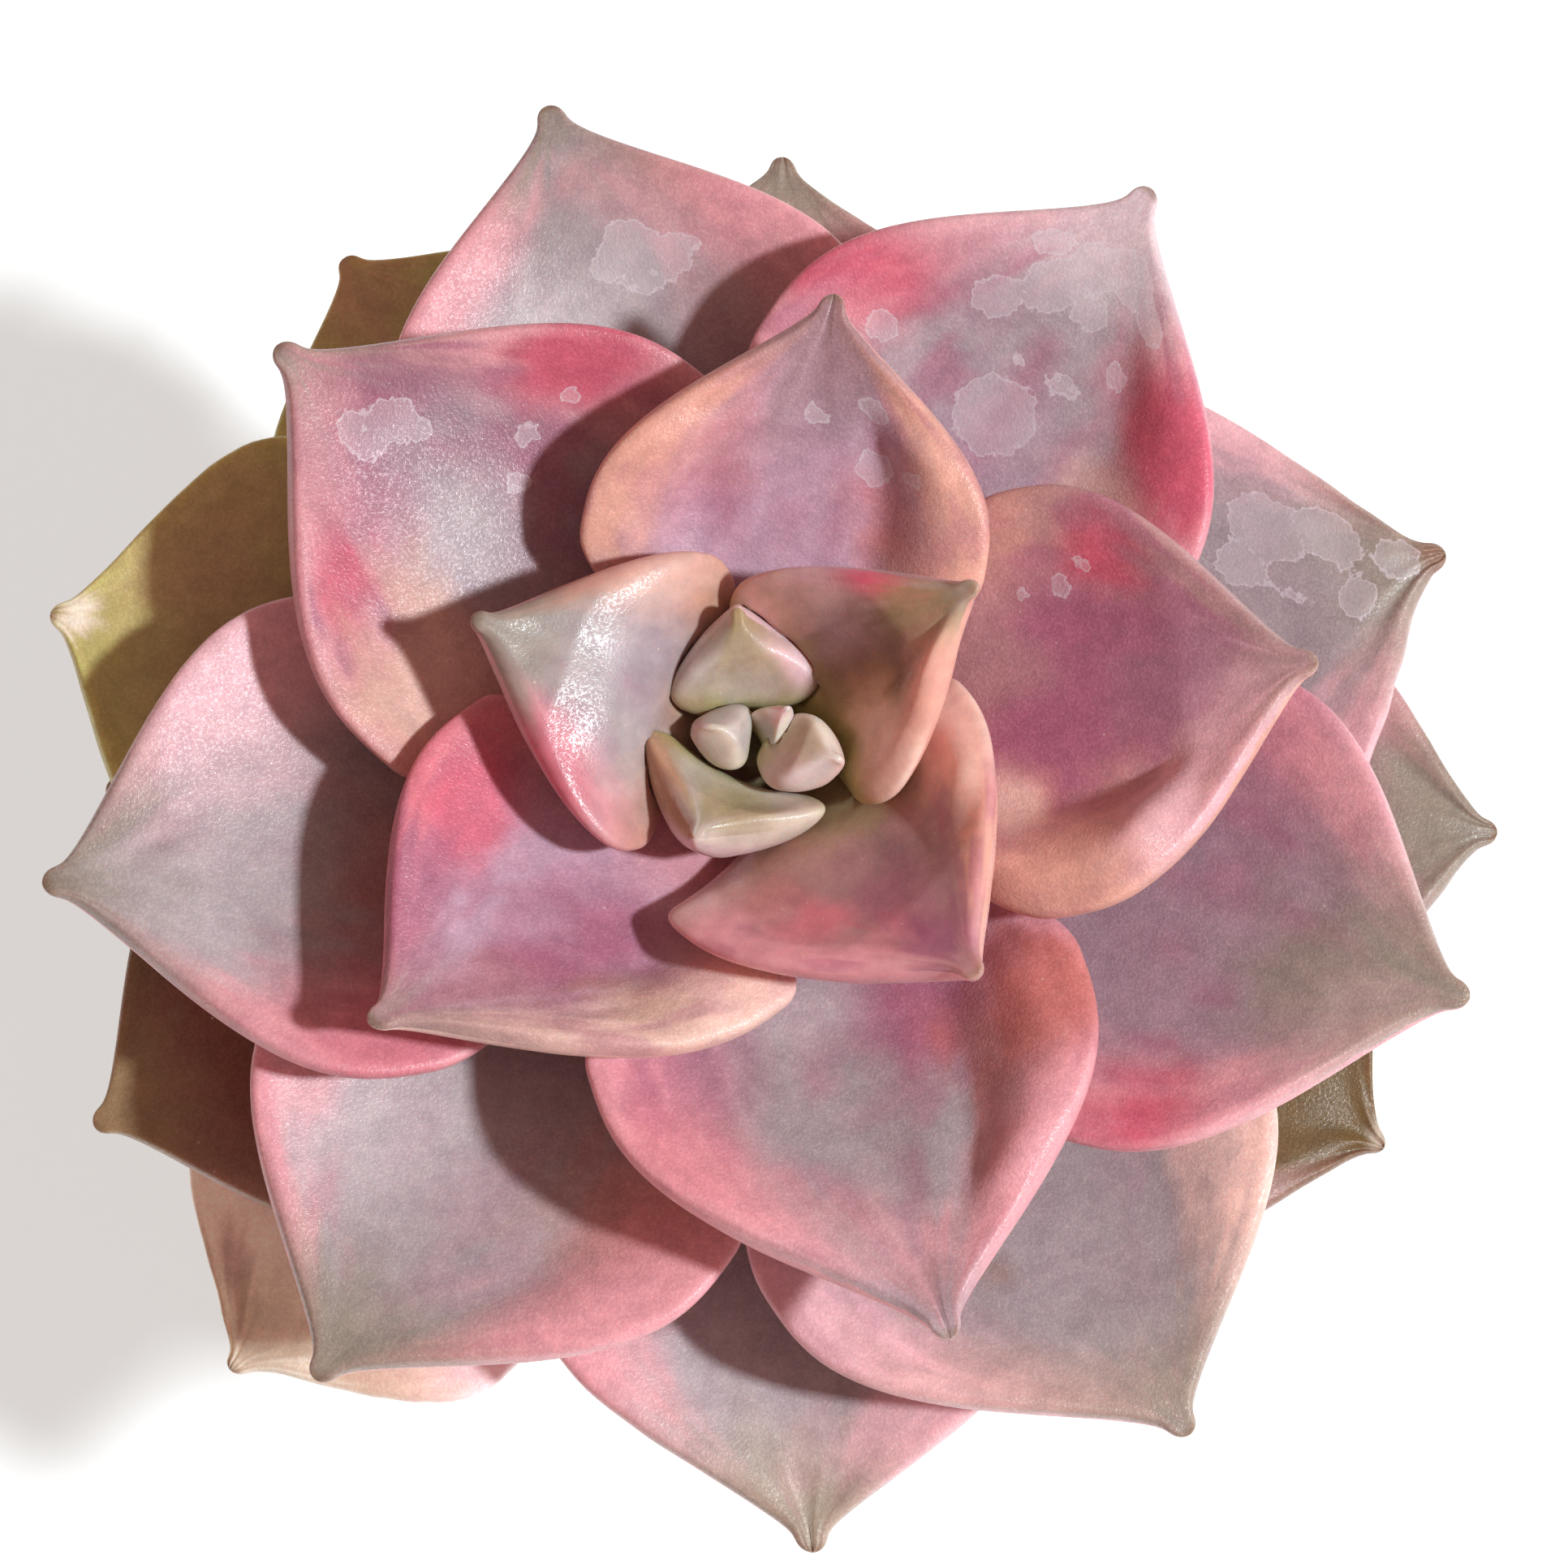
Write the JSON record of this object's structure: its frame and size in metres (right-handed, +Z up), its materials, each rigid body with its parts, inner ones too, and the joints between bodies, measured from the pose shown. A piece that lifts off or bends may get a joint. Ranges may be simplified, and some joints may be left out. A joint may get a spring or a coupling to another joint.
{
  "type": "potted succulent",
  "caption": "Fleshy pink and grey succulent rosette, its pointed leaves in a spiral on a short stem, in a small tapered clay pot of soil.",
  "frame": {"origin": "centre of the pot's flat underside, on the pot's axis", "axes": "+Z up along the pot's axis; -Z is the outward normal of the underside; -Y is the side at the bottom of the picture"},
  "size_m": [0.1018, 0.0999, 0.1055],
  "materials": {
    "pot": "matte",
    "soil": "matte",
    "stem": "matte",
    "leaf_young": "satin",
    "leaf": "satin",
    "leaf_old": "satin"
  },
  "bodies": {
    "root": {"pot": "pot", "soil": "soil", "stem": "stem", "leaf_00": "leaf_young", "leaf_01": "leaf_young", "leaf_02": "leaf_young", "leaf_03": "leaf_young", "leaf_04": "leaf_young", "leaf_05": "leaf", "leaf_06": "leaf", "leaf_07": "leaf", "leaf_08": "leaf", "leaf_09": "leaf", "leaf_10": "leaf", "leaf_11": "leaf", "leaf_12": "leaf", "leaf_13": "leaf", "leaf_14": "leaf", "leaf_15": "leaf", "leaf_16": "leaf", "leaf_17": "leaf", "leaf_18": "leaf", "leaf_19": "leaf_old", "leaf_20": "leaf", "leaf_21": "leaf", "leaf_22": "leaf_old", "leaf_23": "leaf", "leaf_24": "leaf_old", "leaf_25": "leaf", "leaf_26": "leaf_old", "leaf_27": "leaf_old", "leaf_28": "leaf_old", "leaf_29": "leaf_old", "leaf_30": "leaf_old"}
  },
  "joints": []
}
